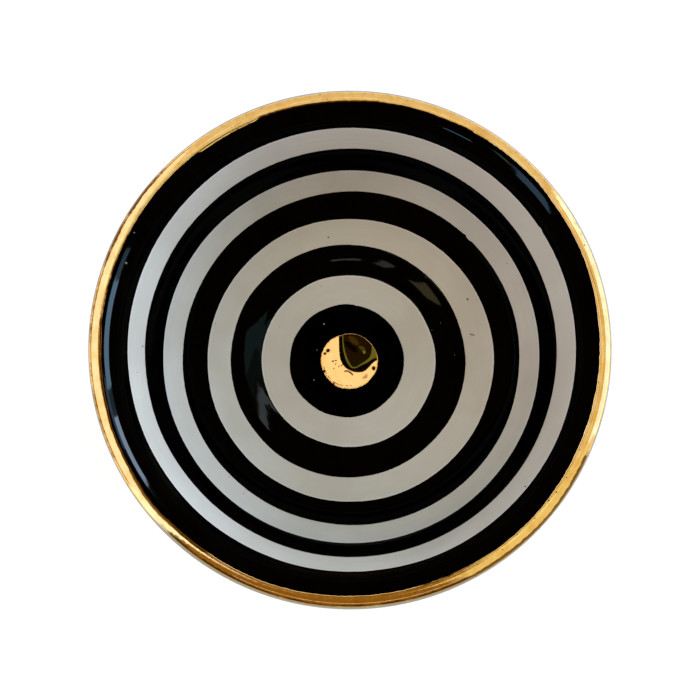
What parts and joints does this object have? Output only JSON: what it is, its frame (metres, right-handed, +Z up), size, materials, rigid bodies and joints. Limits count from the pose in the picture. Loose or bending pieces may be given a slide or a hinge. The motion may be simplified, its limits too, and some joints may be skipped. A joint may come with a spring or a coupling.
{
  "type": "trinket dish",
  "caption": "Small round earthenware dish on a foot ring, banded in black and white inside, with a gold lip and a gold centre dot.",
  "frame": {"origin": "on the table, under the centre of the foot ring", "axes": "+Z up along the axis of turning; +X and +Y lie in the table plane, and no direction around the axis is special"},
  "size_m": [0.1026, 0.1026, 0.0348],
  "materials": {
    "clay": "bare fired earthenware, matt",
    "white_glaze": "off-white glaze, glossy",
    "black_glaze": "black painted glaze, glossy",
    "gold_lustre": "brushed-on gold lustre, glossy"
  },
  "bodies": {
    "root": {"clay_body": "clay", "white_glaze_coat": "white_glaze", "footwell_glaze": "white_glaze", "black_rim_band": "black_glaze", "black_outer_band": "black_glaze", "black_middle_band": "black_glaze", "black_inner_band": "black_glaze", "black_centre_disc": "black_glaze", "gold_rim_band": "gold_lustre", "gold_centre_dot": "gold_lustre"}
  },
  "joints": []
}
